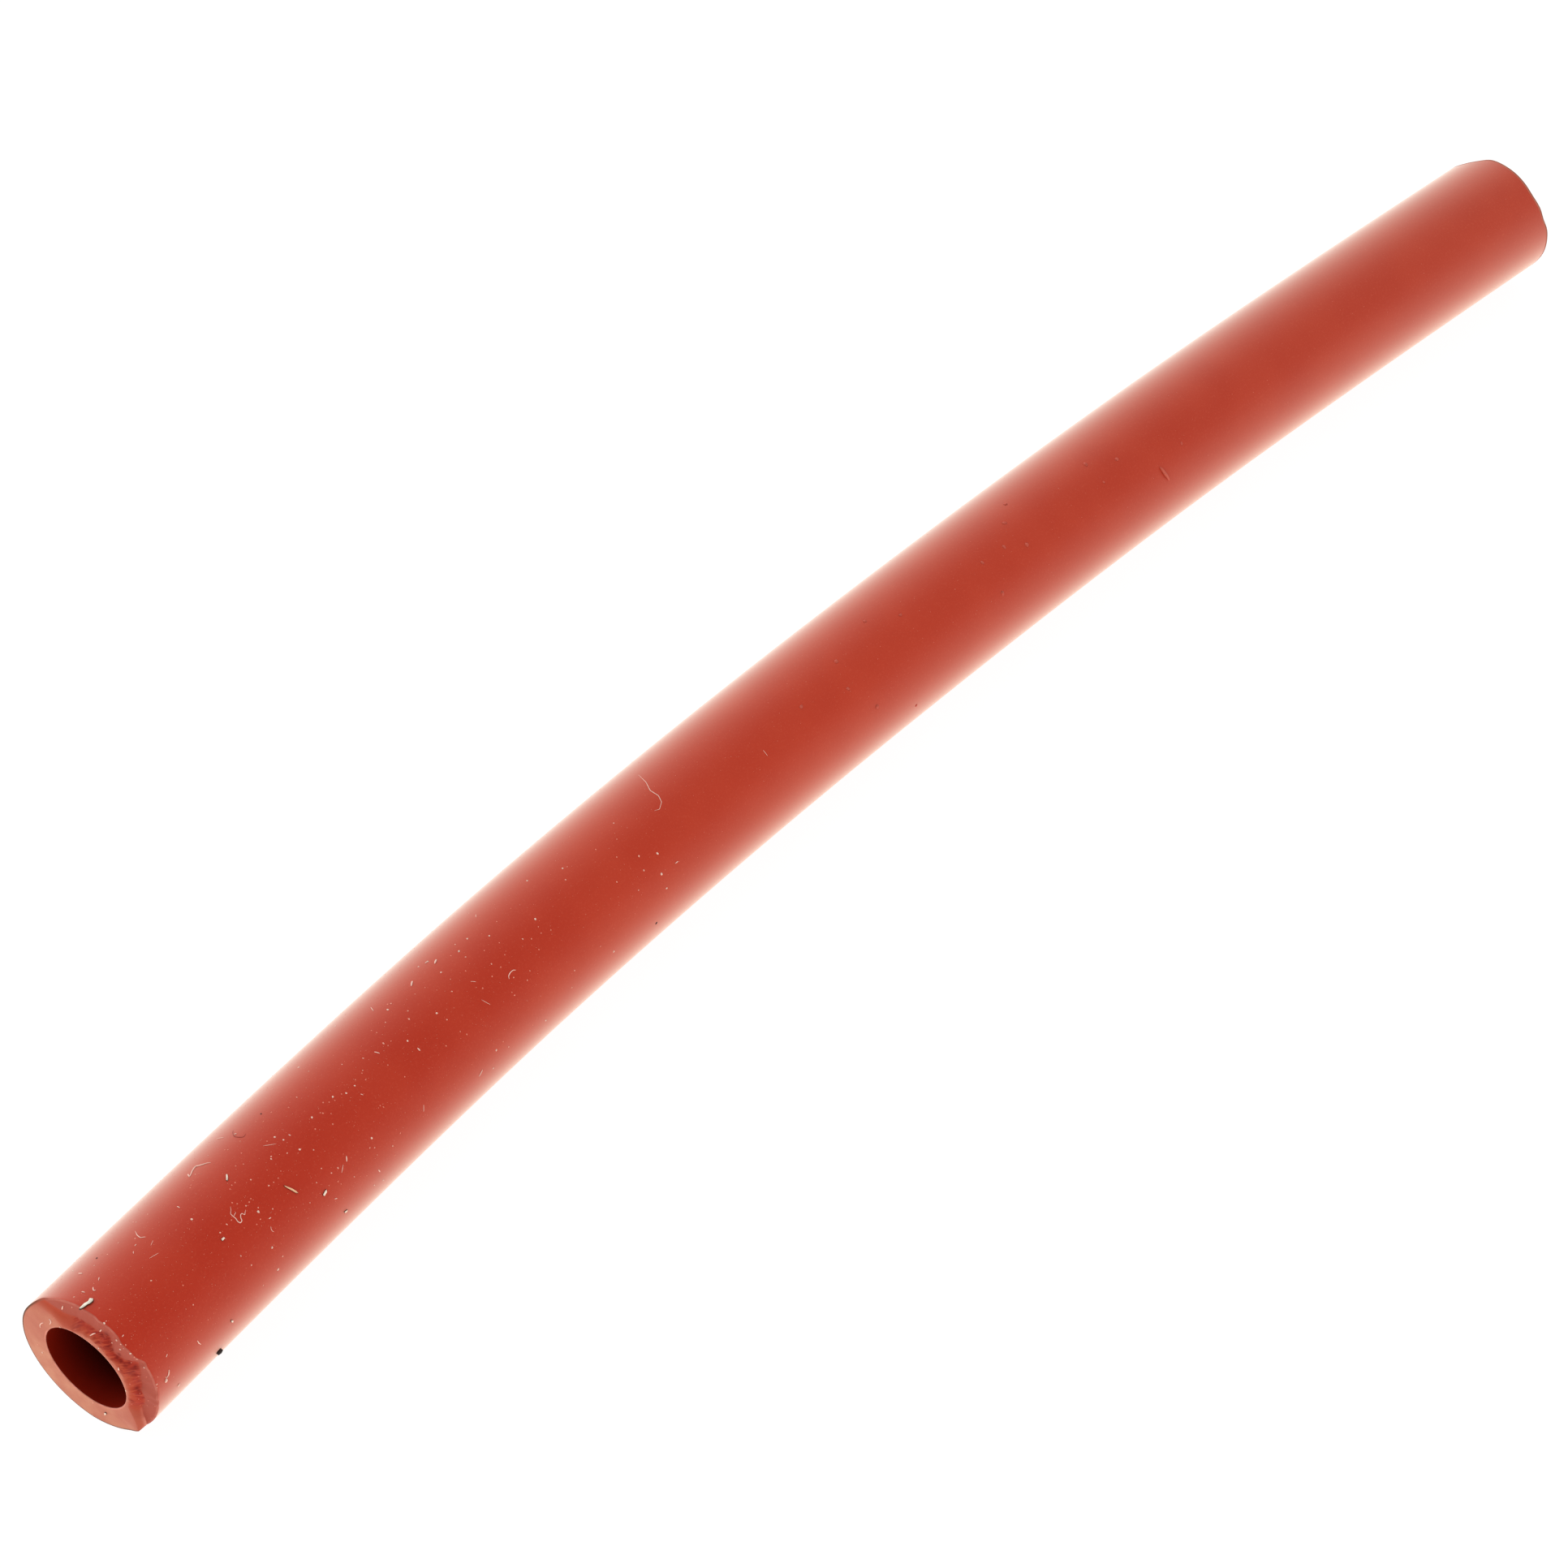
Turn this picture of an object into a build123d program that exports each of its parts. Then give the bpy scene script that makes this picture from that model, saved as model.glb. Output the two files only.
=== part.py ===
from build123d import *

import os
from math import atan2, cos, degrees, radians, sin, tan

# A short length of thick-walled red rubber vacuum tubing, extruded as one piece and cut off by hand.
# It lies on a bench along a gentle bend. X runs along it, from the nearer cut end to the farther one,
# Z is up, and the origin is on the bench under the middle. All sizes are in millimetres.

BORE_DIAMETER = 5.0
WALL = 1.5

# Centre line of the tube as it lies, seen from above: straight runs that arcs join.
ROUTE = [(-60.3, -1.7), (-39.3, 0.5), (-14.3, 1.7), (12.8, 1.5), (38.8, 0.3), (60.4, -1.6)]
ARC_SHARE = 0.45

# The near end was cut in two bites. The first is nearly square. The second took the outer part of
# the wall on one side a little deeper, and left a sloping torn step and a narrow land round the bore.
# Angles go round the cut face, from level and to the right of someone who looks at it.
NEAR_CUT_TILT = 0.7
NEAR_CUT_FACES = -30.0
LAND_WIDTH = 0.45
STEP_SLOPE = 30.0
BITE_DEPTH_AT_AXIS = 0.15
BITE_TILT = 7.4
BITE_FACES = 35.0
LOWER_CORNER = (-26.0, -42.5)
UPPER_CORNER = (102.0, 113.0)

# The far end is one cut, a little out of square, with a sliver shaved off its rim.
FAR_CUT_TILT = 2.3
FAR_CUT_FACES = 42.0
NICK_ANGLE = 52.0
NICK_INWARD = 0.32
NICK_ALONG = 0.6

# Spare length at each end, which the cuts take off.
TRIM_LENGTH = 1.0

bore_radius = BORE_DIAMETER / 2
outer_radius = bore_radius + WALL


def route_points(spare=0.0):
    """The route as points at the height of the tube's axis, both end runs made longer by spare."""
    points = [Vector(x, y, outer_radius) for x, y in ROUTE]
    first_run = points[0] - points[1]
    last_run = points[-1] - points[-2]
    points[0] += first_run.normalized() * spare
    points[-1] += last_run.normalized() * spare
    return points


def arc_radii():
    """At each corner of the route, the radius of the arc that uses ARC_SHARE of the shorter run."""
    points = route_points()
    runs = [after - before for before, after in zip(points, points[1:])]
    radii = []
    for before, after in zip(runs, runs[1:]):
        half_turn = radians(before.get_angle(after)) / 2
        radii.append(ARC_SHARE * min(before.length, after.length) / tan(half_turn))
    return radii


def end_frame(at, beside):
    """The square end of the tube at one route point: Z points out of the mouth, Y points up."""
    outward = (at - beside).normalized()
    return Plane(origin=at, x_dir=Vector(0, 0, 1).cross(outward), z_dir=outward).location


def tilted(frame, tilt, faces, depth=0.0):
    """A cut across the end, set back by depth at the axis and further towards the angle it faces."""
    return frame * Pos(0, 0, -depth) * Rot(0, 0, faces) * Rot(0, tilt, 0) * Rot(0, 0, -faces)


def beyond(cut):
    """A block that holds everything near the end on the outer side of a cut."""
    side = 8 * outer_radius
    return cut * Box(side, side, side, align=(Align.CENTER, Align.CENTER, Align.MIN))


def around(radius, angle):
    """A point of the cut face, by its distance from the axis and its angle."""
    return Vector(radius * cos(radians(angle)), radius * sin(radians(angle)))


def second_bite(end):
    """What the second bite removed: a tapered block outside the land, down to a tilted cut."""
    land_radius = bore_radius + LAND_WIDTH
    past_rim = 2 * outer_radius
    lower_in, lower_rim = around(land_radius, LOWER_CORNER[0]), around(outer_radius, LOWER_CORNER[1])
    upper_in, upper_rim = around(land_radius, UPPER_CORNER[0]), around(outer_radius, UPPER_CORNER[1])
    lower_out = lower_rim + (lower_rim - lower_in).normalized() * past_rim
    upper_out = upper_rim + (upper_rim - upper_in).normalized() * past_rim
    middle_angle = (LOWER_CORNER[0] + UPPER_CORNER[0]) / 2
    far_out = around(2 * past_rim, middle_angle)
    outline = make_face(
        [
            ThreePointArc(lower_in, around(land_radius, middle_angle), upper_in),
            Polyline(upper_in, upper_out, far_out, lower_out, lower_in),
        ]
    )
    block = extrude(end * outline, amount=-outer_radius, taper=STEP_SLOPE)
    return block & beyond(tilted(end, BITE_TILT, BITE_FACES, BITE_DEPTH_AT_AXIS))


def nick(end):
    """The sliver shaved off the far rim, as a slanting cut across its corner."""
    corner = end * Rot(0, 0, NICK_ANGLE) * Pos(outer_radius - NICK_INWARD, 0, 0)
    slant = degrees(atan2(NICK_ALONG, NICK_INWARD))
    return beyond(corner * Rot(0, slant, 0))


def vacuum_tube():
    """The whole tube: a ring swept along the route, then cut at both ends."""
    points = route_points()
    longer = route_points(spare=TRIM_LENGTH)
    path = FilletPolyline(*longer, radius=arc_radii())
    ring = Circle(outer_radius) - Circle(bore_radius)
    tube = sweep(end_frame(longer[0], longer[1]) * ring, path=path)
    near_end = tilted(end_frame(points[0], points[1]), NEAR_CUT_TILT, NEAR_CUT_FACES)
    far_end = tilted(end_frame(points[-1], points[-2]), FAR_CUT_TILT, FAR_CUT_FACES)
    tube -= [beyond(near_end), second_bite(near_end), beyond(far_end), nick(far_end)]
    return tube


tube = vacuum_tube()
os.makedirs("parts", exist_ok=True)
export_step(tube, "parts/vacuum_tube.step")
print("bend radii", [round(radius) for radius in arc_radii()])
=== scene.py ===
import bmesh
import bpy
import math

import numpy as np
from mathutils import Euler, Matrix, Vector
from mathutils.bvhtree import BVHTree


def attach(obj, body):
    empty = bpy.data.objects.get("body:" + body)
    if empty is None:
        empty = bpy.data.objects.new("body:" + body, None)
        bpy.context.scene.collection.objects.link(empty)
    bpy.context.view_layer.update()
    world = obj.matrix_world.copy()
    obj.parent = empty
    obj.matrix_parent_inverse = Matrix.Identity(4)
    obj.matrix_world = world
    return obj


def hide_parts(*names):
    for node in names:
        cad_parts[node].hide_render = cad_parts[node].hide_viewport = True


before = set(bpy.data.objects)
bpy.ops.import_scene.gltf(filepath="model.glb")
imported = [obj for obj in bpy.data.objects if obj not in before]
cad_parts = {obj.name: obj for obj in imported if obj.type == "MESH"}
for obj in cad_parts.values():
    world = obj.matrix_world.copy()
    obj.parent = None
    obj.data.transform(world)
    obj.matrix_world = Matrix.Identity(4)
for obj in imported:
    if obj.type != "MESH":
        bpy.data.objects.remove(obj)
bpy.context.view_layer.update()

# Camera
# The photograph looks down at the bench with a long lens, from beside the tube's nearer end. The
# place and the direction come from both silhouettes of the tube and from the round mouth of its bore.
PHOTO_SIDE = 1932
CAMERA_PLACE = (-0.12245, -0.09847, 0.15029)
CAMERA_HEADING = 40.63
CAMERA_LOOKS_DOWN = 44.35
LENS_LENGTH = 88.06
SENSOR_WIDTH = 36.0
NEAREST_SEEN = 0.01

camera_data = bpy.data.cameras.new("camera")
camera_data.lens = LENS_LENGTH
camera_data.sensor_width = SENSOR_WIDTH
camera_data.clip_start = NEAREST_SEEN
camera = bpy.data.objects.new("camera", camera_data)
camera.location = CAMERA_PLACE
camera_angles = Euler((math.radians(90 - CAMERA_LOOKS_DOWN), 0, math.radians(CAMERA_HEADING - 90)))
camera.rotation_euler = camera_angles
bpy.context.scene.collection.objects.link(camera)
bpy.context.scene.camera = camera


def line_of_sight(x, y):
    """Direction from the camera through a pixel of the photograph: one unit forwards, and sideways
    and up by the pixel's distance from the middle, over the lens's length in pixels."""
    lens_in_pixels = LENS_LENGTH / SENSOR_WIDTH * PHOTO_SIDE
    ray = Vector(((x - PHOTO_SIDE / 2) / lens_in_pixels, (PHOTO_SIDE / 2 - y) / lens_in_pixels, -1))
    return (camera_angles.to_matrix() @ ray).normalized()


# Line of the tube
# The tube is a short stiff length of hose, and lies on the bench along one gentle bend. Its centre
# line is one smooth curve, one outer radius above the bench, from the nearer cut end to the farther.
BORE_RADIUS = 0.0025
OUTER_RADIUS = 0.004
ROUTE = [
    (-0.0603, -0.0017),
    (-0.0393, 0.0005),
    (-0.0143, 0.0017),
    (0.0128, 0.0015),
    (0.0388, 0.0003),
    (0.0604, -0.0016),
]
STEPS_PER_SPAN = 60


def read_line(route, height):
    """Points along the NURBS curve of order 3 that has the route's points as its control points."""
    data = bpy.data.curves.new("tube_line", "CURVE")
    data.dimensions = "3D"
    data.resolution_u = STEPS_PER_SPAN
    spline = data.splines.new("NURBS")
    spline.points.add(len(route) - 1)
    for point, (x, y) in zip(spline.points, route):
        point.co = (x, y, height, 1)
    spline.order_u = 3
    spline.use_endpoint_u = True
    holder = bpy.data.objects.new("tube_line", data)
    mesh = bpy.data.meshes.new_from_object(holder)
    places = np.empty(3 * len(mesh.vertices))
    mesh.vertices.foreach_get("co", places)
    bpy.data.objects.remove(holder)
    bpy.data.curves.remove(data)
    bpy.data.meshes.remove(mesh)
    return places.reshape(-1, 3)


tube_line = read_line(ROUTE, OUTER_RADIUS)
line_steps = np.linalg.norm(np.diff(tube_line, axis=0), axis=1)
line_reach = np.concatenate([[0], np.cumsum(line_steps)])
line_heading = np.gradient(tube_line, line_reach, axis=0)
line_heading /= np.linalg.norm(line_heading, axis=1)[:, None]


def in_tube(along, radius, degrees):
    """Points in the tube's own terms: the centre line's point at each distance along it, plus the
    radius times (cosine of the angle sideways + sine of the angle upwards). Past an end it goes
    straight on. At angle 0 the side faces the camera, and 90 degrees is the top."""
    inside = np.clip(along, 0, line_reach[-1])
    centre = np.stack([np.interp(inside, line_reach, part) for part in tube_line.T], -1)
    heading = np.stack([np.interp(inside, line_reach, part) for part in line_heading.T], -1)
    centre = centre + (along - inside)[..., None] * heading
    turn = np.radians(degrees)
    side = np.stack([heading[..., 1], -heading[..., 0], np.zeros_like(along)], -1)
    up = np.array([0.0, 0.0, 1.0])
    outwards = np.cos(turn)[..., None] * side + np.sin(turn)[..., None] * up
    return centre + radius[..., None] * outwards


# Near end of the tube
# The near end was cut by hand in two bites. The first left a smooth, nearly square face. The second
# took the outer wall on one side deeper, and tore a rough step between that recess and a narrow land.
# Angles go round the face, in degrees, as on the tube. Depths and radii are in millimetres.
MM = 0.001
FACE_RIM_DEPTHS = [
    (120, 0.37), (128, 0.32), (133, 0.27), (138, 0.2), (143, 0.11), (150, 0.04), (165, 0.03),
    (268, 0.03), (284, 0.08), (303, 0.14), (316, 0.0),
]
RECESS_RIM_DEPTHS = [
    (-41, 0.45), (-24, 0.52), (-9, 0.56), (1, 0.58), (10, 0.7), (18, 0.69), (27, 0.7), (33, 0.76),
    (36, 0.66), (39, 0.5), (44, 0.46), (49, 0.43), (54, 0.42), (58, 0.5), (61, 0.53), (68, 0.55),
    (72, 0.49), (77, 0.5), (83, 0.54), (89, 0.51), (97, 0.51), (101, 0.5), (107, 0.46), (113, 0.41),
    (119, 0.37), (122, 0.36),
]
RECESS_SLOPE = 0.13
RECESS_FACES = 35.0
STEP_TOP_RADII = [
    (-43, 3.99), (-31, 3.12), (-25, 2.74), (-11, 2.64), (14, 2.74), (33, 2.78), (52, 2.75),
    (72, 2.78), (84, 2.74), (94, 2.64), (104, 2.55), (112, 2.6), (117, 2.72), (121, 2.92),
    (126, 3.18), (130, 3.44), (136, 3.95), (142, 4.4), (180, 4.9), (265, 4.9),
]
STEP_FOOT_RADII = [
    (-41, 4.03), (-36, 3.66), (-30, 3.3), (-22, 3.14), (-3, 3.12), (6, 3.06), (13, 3.12),
    (20, 3.24), (26, 3.4), (31, 3.66), (34, 3.72), (37, 3.45), (41, 3.15), (48, 3.05), (55, 3.08),
    (59, 3.28), (63, 3.45), (68, 3.42), (74, 3.25), (82, 3.1), (92, 3.1), (102, 3.06), (112, 3.16),
    (117, 3.36), (121, 3.56), (126, 3.84), (130, 4.14), (134, 4.4), (180, 5.3), (265, 5.3),
]
STEP_SOFTNESS = 1.2
LEAST_STEP_WIDTH = 0.12
STEP_BLUR = 0.12
SMOOTH_BLUR = 3.2
TORN_FROM, TORN_TO = -27.0, 106.0
TORN_FADE = 12.0
SMOOTH_FADE = 15.0
LOW_FADE_FROM, LOW_FADE_TO = 5.0, 7.0
CREASE_FADE_TO = 3.0
ROUNDED_OVER = 20.0
COARSE_FROM = 8.0
COARSE_FADE = 15.0
FIBRE_SWAY = 5.0
FIBRE_LEAN = 4.0
FIBRES_LOST_IN_PITS = 0.75
PITS_STRENGTH = 1.1
TEAR_DEPTH = 0.035
PITTED_DEPTH = 0.055
TEAR_ENDS = 0.25
UNEVEN_TOP, UNEVEN_FOOT, UNEVEN_RIM = 0.06, 0.12, 0.02
CREASE_WIDTH = 0.05
LATTICE_ROWS = 64
# Share of the near rim's thin dark line of painted shade, by angle.
RIM_SHADE = [(-44, 0), (118, 0), (145, 1), (312, 1), (316, 0)]
WORN = [(-44, 0.1), (115, 0), (150, 0.25), (195, 0.8), (250, 1.0), (285, 0.5), (316, 0.1)]


def drawn_round(pairs, degrees, softness=2.0):
    """A curve round the face that goes straight from one listed (angle, value) to the next, with its
    corners rounded by the mean of five readings, two steps of softness to each side."""
    angles, values = np.array(pairs, float).T
    steps = softness * np.arange(-2, 3)
    return np.mean([np.interp(degrees + step, angles, values, period=360) for step in steps], axis=0)


def patches(across, outward, cells_round, cells_out, seed):
    """Value noise from -1 to 1: seeded random numbers on a lattice, cells_round of them in the full
    circle and cells_out to a millimetre outwards, blended between its points by 3t² - 2t³."""
    lattice = np.random.default_rng(seed).uniform(-1, 1, (cells_round, LATTICE_ROWS))
    column = across / 360 * cells_round
    row = outward * cells_out
    column_floor, row_floor = np.floor(column).astype(int), np.floor(row).astype(int)
    right, above = column - column_floor, row - row_floor
    right, above = right * right * (3 - 2 * right), above * above * (3 - 2 * above)
    low, high = row_floor % LATTICE_ROWS, (row_floor + 1) % LATTICE_ROWS
    left_side, right_side = column_floor % cells_round, (column_floor + 1) % cells_round
    lower = lattice[left_side, low] * (1 - right) + lattice[right_side, low] * right
    upper = lattice[left_side, high] * (1 - right) + lattice[right_side, high] * right
    return lower * (1 - above) + upper * above


def smooth_step(value, start, end):
    """0 before start, 1 after end and 3t² - 2t³ between them."""
    share = np.clip((value - start) / (end - start), 0, 1)
    return share * share * (3 - 2 * share)


def near_face(degrees, radius):
    """The near end's face at each angle and radius. The face lies at its rim depth times the share
    of the wall. The step falls from its top edge to its foot, where the recess, a tilted plane, runs
    on to the rim. Its torn fibres run outwards, with coarse pits above and fine tears below. Gives
    the depth, how much each point belongs to the torn part and to the step, how far down the step it
    is, from 0 at the top edge to 1 at the foot, and the crease at the foot."""
    wall_share = (radius - BORE_RADIUS / MM) / ((OUTER_RADIUS - BORE_RADIUS) / MM)
    face = drawn_round(FACE_RIM_DEPTHS, degrees) * wall_share

    ragged = smooth_step(degrees, TORN_FROM, TORN_FROM + TORN_FADE)
    ragged = ragged * smooth_step(-degrees, -TORN_TO, TORN_FADE - TORN_TO)
    coarse = smooth_step(degrees, COARSE_FROM, COARSE_FROM + COARSE_FADE)
    sway = patches(degrees, radius, cells_round=45, cells_out=1.5, seed=3)
    swayed = degrees + FIBRE_SWAY * sway
    fibres = patches(swayed + FIBRE_LEAN * radius, radius, cells_round=120, cells_out=1.1, seed=4)
    pits = patches(swayed, radius, cells_round=46, cells_out=2.6, seed=9)
    hollow = fibres * (1 - FIBRES_LOST_IN_PITS * coarse) + PITS_STRENGTH * pits * coarse

    top = drawn_round(STEP_TOP_RADII, degrees, STEP_SOFTNESS)
    foot = drawn_round(STEP_FOOT_RADII, degrees, STEP_SOFTNESS)
    rim = drawn_round(RECESS_RIM_DEPTHS, degrees, STEP_SOFTNESS)
    top = top + ragged * UNEVEN_TOP * patches(degrees, radius, cells_round=80, cells_out=1, seed=5)
    foot = foot + ragged * UNEVEN_FOOT * patches(swayed, radius, cells_round=75, cells_out=1, seed=6)
    rim = rim + ragged * UNEVEN_RIM * patches(degrees, radius, cells_round=100, cells_out=1, seed=7)
    from_rim = OUTER_RADIUS / MM - radius
    recess = rim - RECESS_SLOPE * from_rim * np.cos(np.radians(degrees - RECESS_FACES))

    fall = np.clip((radius - top) / np.maximum(foot - top, LEAST_STEP_WIDTH), 0, 1)
    rounded = smooth_step(degrees, TORN_TO - ROUNDED_OVER, TORN_TO)
    fall = fall + (smooth_step(fall, 0, 1) - fall) * rounded
    wall = smooth_step(fall, 0, TEAR_ENDS) * smooth_step(1 - fall, 0, TEAR_ENDS)
    tears = ragged * wall * hollow * (TEAR_DEPTH + PITTED_DEPTH * coarse)
    depth = face + (recess - face) * fall + tears

    smooth_above = smooth_step(degrees, TORN_TO - SMOOTH_FADE, TORN_TO + SMOOTH_FADE)
    smooth_below = smooth_step(-degrees, -TORN_FROM - LOW_FADE_FROM, LOW_FADE_TO - TORN_FROM)
    blur = STEP_BLUR * (1 + SMOOTH_BLUR * (smooth_above + smooth_below))
    step = smooth_step(radius, top - blur, top + blur)
    step = step * smooth_step(-radius, -foot - STEP_BLUR, -foot + STEP_BLUR / 2)
    crease = np.exp(-(((radius - foot) / CREASE_WIDTH) ** 2))
    crease = crease * smooth_step(-degrees, -TORN_FROM - LOW_FADE_FROM, CREASE_FADE_TO - TORN_FROM)
    return depth, ragged * step, step, fall, crease


# Far end of the tube
# The far end is one cut, a little out of square, that lies out of sight behind its rim. A sliver of
# the rim is shaved off at the top, and two small notches stand beside it.
FAR_RIM_DEPTHS = [
    (30, 0.45), (52, 0.78), (60, 0.56), (67, 0.35), (71, 0.13), (75, -0.13), (81, -0.19),
    (107, -0.19), (118, -0.16), (128, -0.11), (132, -0.09), (137, -0.15), (143, -0.21),
    (149, -0.26), (154, -0.2), (160, -0.29), (168, -0.48), (180, -0.55), (190, -0.62), (200, -0.66),
    (215, -0.5), (260, -0.4), (300, -0.3), (345, -0.05),
]
FAR_CUT_FACES = 42.0
FAR_CUT_SLOPE = 0.04


def far_face(degrees, radius):
    """Depth of the far end's face: its rim depth, which counts in full at the rim and fades with the
    cube of the share of the wall to a plain tilt by the bore. Seen from outside, its angles run the
    other way."""
    from_outside = 180 - degrees
    tilt = FAR_CUT_SLOPE * radius * np.cos(np.radians(from_outside - FAR_CUT_FACES))
    wall_share = (radius - BORE_RADIUS / MM) / ((OUTER_RADIUS - BORE_RADIUS) / MM)
    rim = drawn_round(FAR_RIM_DEPTHS, from_outside)
    return tilt + (rim - tilt) * wall_share ** 3


# Wall of the tube
# One wall of soft rubber, extruded in one piece: the outer skin, the near face, the bore and the far
# face follow each other as the rows of one closed grid, and each edge is very slightly rounded.
COLUMNS = 344
CLOSE_FROM, CLOSE_TO = -50.0, 125.0
CLOSER_BY = 2.3
ANGLES_READ = 3601
SKIN_ROWS = 112
FACE_ROWS = 58
BORE_ROWS = 44
FAR_FACE_ROWS = 14
EDGE_ROWS = 4
SKIN_CROWDING = 0.75
BORE_CROWDING = 0.9
EDGE = 0.045
USUAL_DISTANCE = 0.19
RIM_LINE = 0.085
LIP_LINE = 0.05
DARK_BY = 3.2
RECESS_FADE = (0.8, 1.0)
BESIDE_FADE = (0.4, 0.9)
FOOT_FADE = (0.1, 0.8)
# Share of the far rim's thin dark line of painted shade.
FAR_RIM_SHADE = 0.5
RECESS_RIM_HIGHLIGHT = 0.3
DUSTY_FROM_NEAR = (0, 25, 37, 57, 75, 95, 121)
DUSTY_SHARE = (0.0, 0.12, 0.45, 0.55, 0.3, 0.08, 0.1)
# Pockets of the torn step, painted with dark shade, each its x, y and size in pixels of the
# photograph.
SHADED_POCKETS = [
    (126, 1644, 3.4), (131.5, 1644.5, 4.4), (134, 1660.5, 3.6), (138, 1662.5, 2.8),
    (144.3, 1672, 3.0), (147, 1669, 2.8), (149, 1677, 3.2), (154.5, 1681, 4.0), (159, 1679, 3.6),
    (160, 1692, 3.2), (164.5, 1689, 4.4), (167.5, 1684, 3.4), (168.5, 1710.5, 3.2),
    (171, 1713, 2.6),
]

angles_read = np.linspace(-180, 180, ANGLES_READ)
closeness = 1 + (CLOSER_BY - 1) * ((angles_read > CLOSE_FROM) & (angles_read < CLOSE_TO))
closeness_reach = np.concatenate([[0], np.cumsum(closeness[:-1])])
column_reach = np.arange(COLUMNS) / COLUMNS * closeness_reach[-1]
column_angles = np.interp(column_reach, closeness_reach, angles_read)


def crowded(count, crowding):
    """Shares from just over 0 to just under 1 that lie closer together towards both ends: the even
    share less the crowding times the sine of its full turn, over the full turn."""
    even = (np.arange(count) + 0.5) / count
    return even - crowding * np.sin(2 * np.pi * even) / (2 * np.pi)


def wall_rows():
    """The grid's rows as (radius, distance along, kind) arrays, in millimetres, in the order outer
    skin, near face, bore, far face. A face's row lies as deep as its face, and each edge between
    them is a quarter circle of radius EDGE."""
    outer, bore, length = OUTER_RADIUS / MM, BORE_RADIUS / MM, line_reach[-1] / MM
    edge_turns = np.linspace(0, np.pi / 2, EDGE_ROWS)
    quarter = list(zip(np.sin(edge_turns), np.cos(edge_turns)))
    face_radii = np.linspace(outer - EDGE, bore + EDGE, FACE_ROWS)[1:-1]
    far_radii = np.linspace(bore + EDGE, outer - EDGE, FAR_FACE_ROWS)[1:-1]
    rows = []

    def add(radius, near, far, share, kind):
        """One row: share runs from 0 at the near face to 1 at the far face, and near and far are
        how far from those faces the row is kept."""
        radii = np.full(COLUMNS, radius)
        near_depth = near_face(column_angles, radii)[0] + near
        far_depth = length - far_face(column_angles, radii) - far
        rows.append((radii, near_depth + (far_depth - near_depth) * share, kind))

    for share in 1 - crowded(SKIN_ROWS, SKIN_CROWDING):
        add(outer, EDGE, EDGE, share, "skin")
    for sine, cosine in quarter:
        add(outer - EDGE * (1 - cosine), EDGE * (1 - sine), 0, 0, "near edge")
    for radius in face_radii:
        add(radius, 0, 0, 0, "near face")
    for sine, cosine in quarter:
        add(bore + EDGE * (1 - sine), EDGE * (1 - cosine), 0, 0, "bore edge")
    for share in crowded(BORE_ROWS, BORE_CROWDING):
        add(bore, EDGE, EDGE, share, "bore")
    for sine, cosine in quarter:
        add(bore + EDGE * (1 - cosine), 0, EDGE * (1 - sine), 1, "far bore edge")
    for radius in far_radii:
        add(radius, 0, 0, 1, "far face")
    for sine, cosine in quarter:
        add(outer - EDGE * (1 - sine), 0, EDGE * (1 - cosine), 1, "far edge")
    return rows


def closed_grid(places):
    """Faces of a grid of points that closes in both directions, four corners each, so that they
    point away from the wall."""
    rows, columns = places.shape[:2]
    row, column = np.meshgrid(np.arange(rows), np.arange(columns), indexing="ij")
    next_row, next_column = (row + 1) % rows, (column + 1) % columns
    corners = [row * columns + column, row * columns + next_column,
               next_row * columns + next_column, next_row * columns + column]
    return np.stack(corners, -1).reshape(-1, 4).tolist()


def add_piece(name, points, faces):
    """A new smooth mesh object in the scene, from an array of points and a list of faces."""
    mesh = bpy.data.meshes.new(name)
    mesh.from_pydata(points.tolist(), [], faces)
    mesh.polygons.foreach_set("use_smooth", np.full(len(faces), True))
    piece = bpy.data.objects.new(name, mesh)
    bpy.context.scene.collection.objects.link(piece)
    return piece


def add_measure(piece, name, values):
    """A number at each point of the piece, which its finish reads."""
    layer = piece.data.attributes.new(name, "FLOAT", "POINT")
    layer.data.foreach_set("value", np.ascontiguousarray(values, np.float32).ravel())


rows = wall_rows()
grid_radius = np.array([radii for radii, along, kind in rows])
grid_along = np.array([along for radii, along, kind in rows])
grid_kind = np.array([kind for radii, along, kind in rows])[:, None]
grid_angle = np.broadcast_to(column_angles, grid_radius.shape)
tube_points = in_tube(grid_along * MM, grid_radius * MM, grid_angle)
tube_faces = closed_grid(tube_points)
tube = add_piece("rubber_tube", tube_points.reshape(-1, 3), tube_faces)
wall_tree = BVHTree.FromPolygons(tube_points.reshape(-1, 3).tolist(), tube_faces)


def on_tube(x, y):
    """The tube's surface and its normal where a pixel of the photograph sees it, and how long one
    pixel is there. The ray starts at the camera. One that just misses the tube takes the point of it
    nearest to the ray, at the usual distance from the camera."""
    eye = Vector(CAMERA_PLACE)
    direction = line_of_sight(x, y)
    place, normal, face, distance = wall_tree.ray_cast(eye, direction)
    if place is None:
        place, normal, face, distance = wall_tree.find_nearest(eye + direction * USUAL_DISTANCE)
    pixel = (place - eye).length * SENSOR_WIDTH / LENS_LENGTH / PHOTO_SIDE
    return np.array(place), np.array(normal), pixel


def in_shaded_pocket():
    """How much each point of the wall belongs to a pocket of the torn step that is painted with dark
    shade: exp(-(distance from the pocket's middle / its size)²), of the nearest pocket."""
    share = np.zeros(grid_radius.shape)
    for x, y, size in SHADED_POCKETS:
        place, normal, pixel = on_tube(x, y)
        distance = np.linalg.norm(tube_points - place, axis=-1)
        share = np.maximum(share, np.exp(-((distance / (size * pixel)) ** 2)))
    return share


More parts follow.
